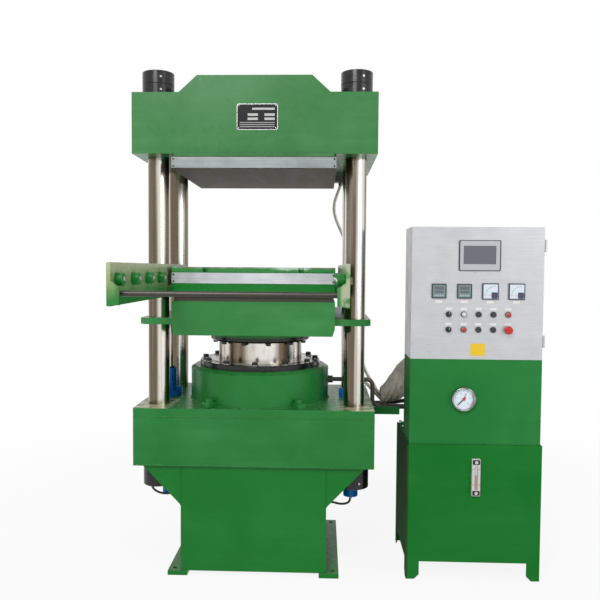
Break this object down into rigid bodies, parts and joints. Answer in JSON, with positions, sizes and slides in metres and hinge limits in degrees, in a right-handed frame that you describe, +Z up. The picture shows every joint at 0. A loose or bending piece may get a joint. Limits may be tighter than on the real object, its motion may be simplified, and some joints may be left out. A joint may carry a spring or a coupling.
{
  "type": "rubber vulcanizing press",
  "caption": "Green four-column hydraulic rubber vulcanizing press with heated platens, pull-out mould plate on roller arms and a stainless control cabinet over an oil tank.",
  "frame": {"origin": "on the floor under the ram's axis, at the centre of the four anchor holes", "axes": "+Z up, -Y to the operator, +X from the press to the cabinet"},
  "size_m": [2.0407, 1.7286, 2.529],
  "materials": {
    "green_enamel": "gloss",
    "polished_steel": "polished",
    "machined_steel": "machined",
    "black_steel": "satin, blackened",
    "heater_sheath": "satin",
    "insulation": "matt pressed board",
    "bare_aluminium": "satin",
    "blue_enamel": "gloss",
    "stainless": "brushed",
    "zinc_sheet": "galvanised",
    "black_plastic": "matt",
    "green_plastic": "gloss",
    "red_plastic": "gloss",
    "lamp_plastic": "gloss",
    "instrument": "matt",
    "bronze": "machined",
    "braided_steel": "braided",
    "hose_rubber": "satin",
    "pipe_steel": "satin",
    "sleeve_cloth": "woven",
    "gauge_steel": "polished"
  },
  "bodies": {
    "frame": {"pedestal": "green_enamel", "lower_beam": "green_enamel", "upper_beam": "green_enamel", "columns": "polished_steel", "column_nuts": "black_steel", "main_cylinder": "green_enamel", "gland_ring": "black_steel", "gland_bolts": "black_steel", "upper_insulation_board": "insulation", "upper_hot_plate": "machined_steel", "upper_heaters": "heater_sheath", "upper_terminal_covers": "bare_aluminium", "upper_conduits": "braided_steel", "lift_barrels": "blue_enamel", "hydraulic_hoses": "hose_rubber", "pressure_pipe": "pipe_steel", "hose_trough": "green_enamel", "hose_sleeve": "sleeve_cloth", "oil_tank": "green_enamel", "cabinet_shell": "green_enamel", "control_box": "stainless", "mounting_plate": "zinc_sheet", "pressure_gauge": "gauge_steel", "level_gauge": "bare_aluminium", "pump_motor": "blue_enamel", "valve_block": "green_enamel"},
    "platen": {"bolster": "green_enamel", "guide_bushes": "bronze", "lower_insulation_board": "insulation", "support_plate": "machined_steel", "lower_hot_plate": "machined_steel", "lower_heaters": "heater_sheath", "lower_terminal_covers": "bare_aluminium", "ram": "polished_steel", "clamp_ring": "black_steel", "side_arms": "green_enamel", "tie_bar": "polished_steel", "lift_rods": "polished_steel", "lower_conduit": "braided_steel"},
    "mould_plate": {"carrier_plate": "green_enamel"},
    "door": {"control_door": "stainless", "panel_instruments": "instrument", "button_bezels": "black_plastic", "indicator_lamps": "lamp_plastic"},
    "pointer": {"gauge_pointer": "instrument"},
    "roller_left_1": {"roller_left_1": "polished_steel"},
    "roller_left_2": {"roller_left_2": "polished_steel"},
    "roller_left_3": {"roller_left_3": "polished_steel"},
    "roller_left_4": {"roller_left_4": "polished_steel"},
    "roller_right_1": {"roller_right_1": "polished_steel"},
    "roller_right_2": {"roller_right_2": "polished_steel"},
    "roller_right_3": {"roller_right_3": "polished_steel"},
    "roller_right_4": {"roller_right_4": "polished_steel"},
    "heating_selector": {"heating_selector": "black_plastic"},
    "mode_selector": {"mode_selector": "black_plastic"},
    "close_button": {"close_button": "green_plastic"},
    "open_button": {"open_button": "green_plastic"},
    "pump_start_button": {"pump_start_button": "green_plastic"},
    "pump_stop_button": {"pump_stop_button": "red_plastic"},
    "emergency_stop": {"emergency_stop": "red_plastic"}
  },
  "joints": [
    {"name": "platen_lift", "type": "slide", "parent": "frame", "child": "platen", "axis": [0, 0, 1], "range_m": [0, 0.4755], "deforming": ["lower_conduit"]},
    {"name": "mould_plate_slide", "type": "slide", "parent": "platen", "child": "mould_plate", "axis": [0, -1, 0], "range_m": [0, 0.72]},
    {"name": "door_hinge", "type": "hinge", "parent": "frame", "child": "door", "pos_m": [1.4295, -0.329, 1.4335], "axis": [0, 0, 1], "range_deg": [0, 110]},
    {"name": "gauge_needle", "type": "hinge", "parent": "frame", "child": "pointer", "pos_m": [1.039, -0.356, 0.912], "axis": [0, 1, 0], "range_deg": [0, 270], "stiffness_Nm_per_rad": 0.002, "springref_deg": -11.46},
    {"name": "roller_left_1_turn", "type": "hinge", "parent": "platen", "child": "roller_left_1", "pos_m": [-0.407, -1.212, 1.5047], "axis": [1, 0, 0], "continuous": true},
    {"name": "roller_left_2_turn", "type": "hinge", "parent": "platen", "child": "roller_left_2", "pos_m": [-0.407, -0.997, 1.5047], "axis": [1, 0, 0], "continuous": true},
    {"name": "roller_left_3_turn", "type": "hinge", "parent": "platen", "child": "roller_left_3", "pos_m": [-0.407, -0.782, 1.5047], "axis": [1, 0, 0], "continuous": true},
    {"name": "roller_left_4_turn", "type": "hinge", "parent": "platen", "child": "roller_left_4", "pos_m": [-0.407, -0.567, 1.5047], "axis": [1, 0, 0], "continuous": true},
    {"name": "roller_right_1_turn", "type": "hinge", "parent": "platen", "child": "roller_right_1", "pos_m": [0.407, -1.212, 1.5047], "axis": [1, 0, 0], "continuous": true},
    {"name": "roller_right_2_turn", "type": "hinge", "parent": "platen", "child": "roller_right_2", "pos_m": [0.407, -0.997, 1.5047], "axis": [1, 0, 0], "continuous": true},
    {"name": "roller_right_3_turn", "type": "hinge", "parent": "platen", "child": "roller_right_3", "pos_m": [0.407, -0.782, 1.5047], "axis": [1, 0, 0], "continuous": true},
    {"name": "roller_right_4_turn", "type": "hinge", "parent": "platen", "child": "roller_right_4", "pos_m": [0.407, -0.567, 1.5047], "axis": [1, 0, 0], "continuous": true},
    {"name": "heating_selector_turn", "type": "hinge", "parent": "door", "child": "heating_selector", "pos_m": [0.96, -0.345, 1.33], "axis": [0, 1, 0], "range_deg": [0, 60]},
    {"name": "mode_selector_turn", "type": "hinge", "parent": "door", "child": "mode_selector", "pos_m": [0.96, -0.345, 1.255], "axis": [0, 1, 0], "range_deg": [-45, 45]},
    {"name": "close_button_push", "type": "slide", "parent": "door", "child": "close_button", "axis": [0, 1, 0], "range_m": [0, 0.004], "stiffness_N_per_m": 400, "springref_m": -0.002},
    {"name": "open_button_push", "type": "slide", "parent": "door", "child": "open_button", "axis": [0, 1, 0], "range_m": [0, 0.004], "stiffness_N_per_m": 400, "springref_m": -0.002},
    {"name": "pump_start_button_push", "type": "slide", "parent": "door", "child": "pump_start_button", "axis": [0, 1, 0], "range_m": [0, 0.004], "stiffness_N_per_m": 400, "springref_m": -0.002},
    {"name": "pump_stop_button_push", "type": "slide", "parent": "door", "child": "pump_stop_button", "axis": [0, 1, 0], "range_m": [0, 0.004], "stiffness_N_per_m": 400, "springref_m": -0.002},
    {"name": "emergency_stop_push", "type": "slide", "parent": "door", "child": "emergency_stop", "axis": [0, 1, 0], "range_m": [0, 0.005], "stiffness_N_per_m": 600, "springref_m": -0.002}
  ]
}
